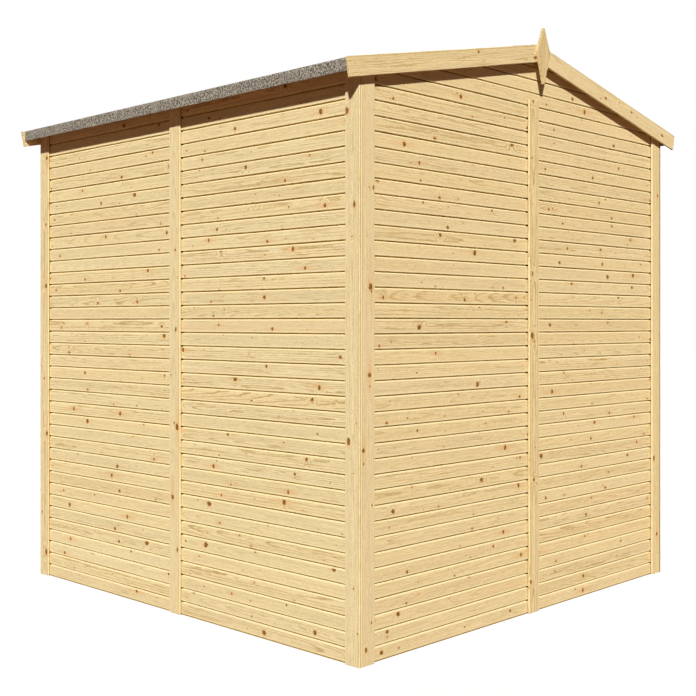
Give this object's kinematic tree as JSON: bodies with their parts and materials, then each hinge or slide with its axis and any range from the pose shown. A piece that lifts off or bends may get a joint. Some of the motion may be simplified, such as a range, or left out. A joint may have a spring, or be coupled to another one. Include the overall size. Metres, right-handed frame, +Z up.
{
  "type": "wooden garden shed",
  "caption": "Small timber garden shed with a shallow felted apex roof, horizontal board walls, corner trims and one door in the front gable.",
  "frame": {"origin": "centre of the footprint, at ground level under the walls", "axes": "+Z up; the ridge runs along Y; the door gable faces -Y and the plain back gable faces +Y; +X is the right-hand side seen from the door"},
  "size_m": [2.0626, 1.978, 2.188],
  "materials": {
    "cladding_pine": "planed, unpainted, knotty",
    "planed_pine": "planed, unpainted, knotty",
    "sawn_pine": "sawn, unpainted",
    "mineral_felt": "grey mineral-surfaced roofing felt",
    "black_iron": "satin black"
  },
  "bodies": {
    "root": {"floor_bearers": "sawn_pine", "floor_boards": "sawn_pine", "back_cladding_left": "cladding_pine", "back_cladding_right": "cladding_pine", "back_gable_panel": "cladding_pine", "back_wall_studs": "sawn_pine", "back_wall_rails": "sawn_pine", "front_cladding_left": "cladding_pine", "front_cladding_right": "cladding_pine", "front_gable_panel": "cladding_pine", "front_wall_studs": "sawn_pine", "front_wall_rails": "sawn_pine", "left_cladding_front": "cladding_pine", "left_cladding_rear": "cladding_pine", "left_wall_studs": "sawn_pine", "left_wall_rails": "sawn_pine", "right_cladding_front": "cladding_pine", "right_cladding_rear": "cladding_pine", "right_wall_studs": "sawn_pine", "right_wall_rails": "sawn_pine", "corner_trim_front_left": "planed_pine", "corner_trim_front_right": "planed_pine", "corner_trim_back_left": "planed_pine", "corner_trim_back_right": "planed_pine", "back_centre_strip": "planed_pine", "left_centre_strip": "planed_pine", "right_centre_strip": "planed_pine", "roof_purlins": "sawn_pine", "eaves_battens": "sawn_pine", "roof_boards_left": "sawn_pine", "roof_boards_right": "sawn_pine", "roof_felt_left": "mineral_felt", "roof_felt_right": "mineral_felt", "ridge_felt": "mineral_felt", "front_bargeboard_left": "planed_pine", "front_bargeboard_right": "planed_pine", "back_bargeboard_left": "planed_pine", "back_bargeboard_right": "planed_pine", "front_finial": "planed_pine", "back_finial": "planed_pine", "door_boards": "cladding_pine", "door_face_rails": "planed_pine", "door_ledges": "sawn_pine", "door_surround": "planed_pine", "door_ironwork": "black_iron"}
  },
  "joints": []
}
